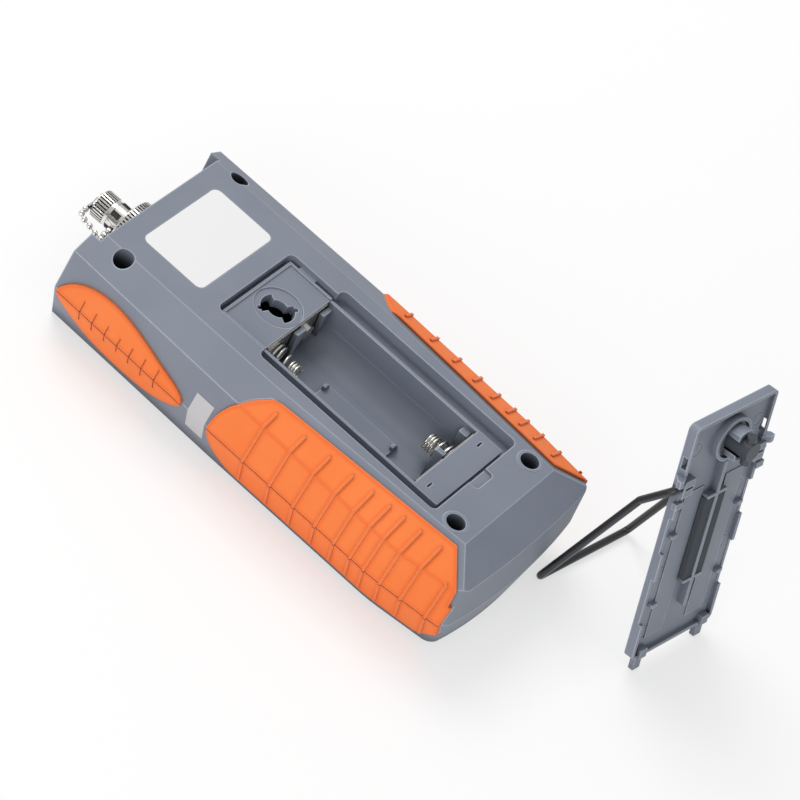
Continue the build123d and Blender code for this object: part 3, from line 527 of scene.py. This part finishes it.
def ball_chain():
    """Chain of pressed beads between the adapter's neck and the cap's swivel."""
    form = bmesh.new()
    places = [Vector((x, PORT_Y + y, z)) * MM for x, y, z in CHAIN]
    for place in places:
        turn = Matrix.Translation(place) @ Matrix.Rotation(BEAD_TURN, 4, "Z")
        bmesh.ops.create_uvsphere(form, u_segments=20, v_segments=12, radius=BEAD_R * MM, matrix=turn)
    for a, b in zip(places, places[1:]):
        along = b - a
        turn = Matrix.Translation((a + b) / 2) @ along.to_track_quat("Z", "Y").to_matrix().to_4x4()
        bmesh.ops.create_cone(form, cap_ends=True, segments=10, radius1=LINK_R * MM,
                              radius2=LINK_R * MM,
                              depth=along.length - LINK_INSET * BEAD_R * MM, matrix=turn)
    chain = formed("ball_chain", form, "nickel_brass")
    for face in chain.data.polygons:
        face.use_smooth = len(face.vertices) < 8      # all but the ends of the links
    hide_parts("bead_chain")
    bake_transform(chain)


def dark_card(name, place, width, height):
    """Black card outside the picture, facing the housing, which only polished surfaces see."""
    bpy.ops.mesh.primitive_plane_add(size=1, location=place)
    card = bpy.context.object
    card.name = name
    card.scale = (width, height, 1)
    card.rotation_euler = (-Vector(place)).to_track_quat("Z", "Y").to_euler()
    material, _, _ = new_finish("black_studio_card", "#060606", 0.9)
    card.data.materials.append(material)
    for ray in ("camera", "diffuse", "transmission", "volume_scatter", "shadow"):
        setattr(card, "visible_" + ray, False)


def studio_floor():
    """Pale floor that keeps the shadows and reads as white to the camera and in reflections.
    It lies a tenth of a millimetre under the housing."""
    bpy.ops.mesh.primitive_plane_add(size=8, location=(0, 0, -0.1 * MM))    # 8 m square
    floor = bpy.context.object
    floor.name = "studio_floor"
    material = bpy.data.materials.new("white_paper_floor")
    material.use_nodes = True
    tree = material.node_tree
    tree.nodes.clear()
    paper = add(tree, "ShaderNodeBsdfDiffuse", None, {"Color": linear("#F7F7F7")})
    white = add(tree, "ShaderNodeEmission", None, {"Color": (1, 1, 1, 1), "Strength": 1.0})
    ray = add(tree, "ShaderNodeLightPath").outputs
    seen = calc(tree, "MAXIMUM", ray["Is Camera Ray"], ray["Is Glossy Ray"])
    seen = calc(tree, "MAXIMUM", seen, ray["Is Transmission Ray"])
    mix = add(tree, "ShaderNodeMixShader", None,
              {0: calc(tree, "MULTIPLY", seen, FLOOR_LIFT), 1: paper.outputs[0], 2: white.outputs[0]})
    out = add(tree, "ShaderNodeOutputMaterial")
    tree.links.new(mix.outputs[0], out.inputs["Surface"])
    floor.data.materials.append(material)


def studio_sky():
    """Even white surroundings: plain light on the object, white where it is looked at."""
    world = bpy.data.worlds.new("studio_surroundings")
    world.use_nodes = True
    tree = world.node_tree
    tree.nodes.clear()
    ray = add(tree, "ShaderNodeLightPath").outputs
    seen = calc(tree, "MAXIMUM", ray["Is Camera Ray"], ray["Is Transmission Ray"])
    light = add(tree, "ShaderNodeBackground", None,
                {"Color": (1, 1, 1, 1), "Strength": ranged(tree, seen, 0.0, 1.0, SKY_LEVEL, 1.0)})
    out = add(tree, "ShaderNodeOutputWorld")
    tree.links.new(light.outputs[0], out.inputs["Surface"])
    bpy.context.scene.world = world


def softbox(name, place, side, watts):
    """Square soft light that faces the housing."""
    data = bpy.data.lights.new(name, "AREA")
    data.shape = "RECTANGLE"
    data.size = side
    data.size_y = side
    data.energy = watts
    lamp = placed(name, data)
    lamp.location = place
    lamp.rotation_euler = (Vector(AIM) - Vector(place)).to_track_quat("-Z", "Y").to_euler()


def photo_camera():
    """Camera of the photograph, solved from the housing's edges, on a 36 mm wide sensor."""
    right = (0.5713933, -0.7343071, 0.3664734)
    up = (0.4460882, 0.6527215, 0.6123398)
    back = (-0.6888505, -0.1864074, 0.7005264)
    place = (-0.85064, -0.24987, 0.90368)
    data = bpy.data.cameras.new("photo_camera")
    data.lens = 193.5
    data.sensor_width = 36
    data.clip_start = 0.01
    camera = placed("photo_camera", data)
    turn = Matrix((right, up, back)).transposed()
    camera.matrix_world = Matrix.Translation(place) @ turn.to_4x4()
    bpy.context.scene.camera = camera


dress_nodes()
cell_spring("top_cell_spring", "bridge_spring", -CELL_X, TOP_PLATE_Y, way=-1)
cell_spring("bottom_cell_spring", "minus_spring", CELL_X, BOTTOM_PLATE_Y, way=1)
turned("knurled_ring_nut", "knurled_ring", "unit", RING_NUT, teeth=54)
turned("knurled_dust_cap", "dust_cap", "cap", DUST_CAP, teeth=30)
shade_collar_slots()
ball_chain()
studio_floor()
dark_card("card_left", (-1.1, 0.3, 0.32), width=0.22, height=1.6)
dark_card("card_right", (1.1, 0.3, 0.45), width=0.14, height=1.6)
studio_sky()
softbox("key_softbox", (0.3, 0.8, 1.2), side=0.8, watts=11.0)
softbox("fill_softbox", (-1.15, -0.2, 0.35), side=0.8, watts=5.5)
photo_camera()

scene = bpy.context.scene
scene.view_settings.view_transform = "Standard"
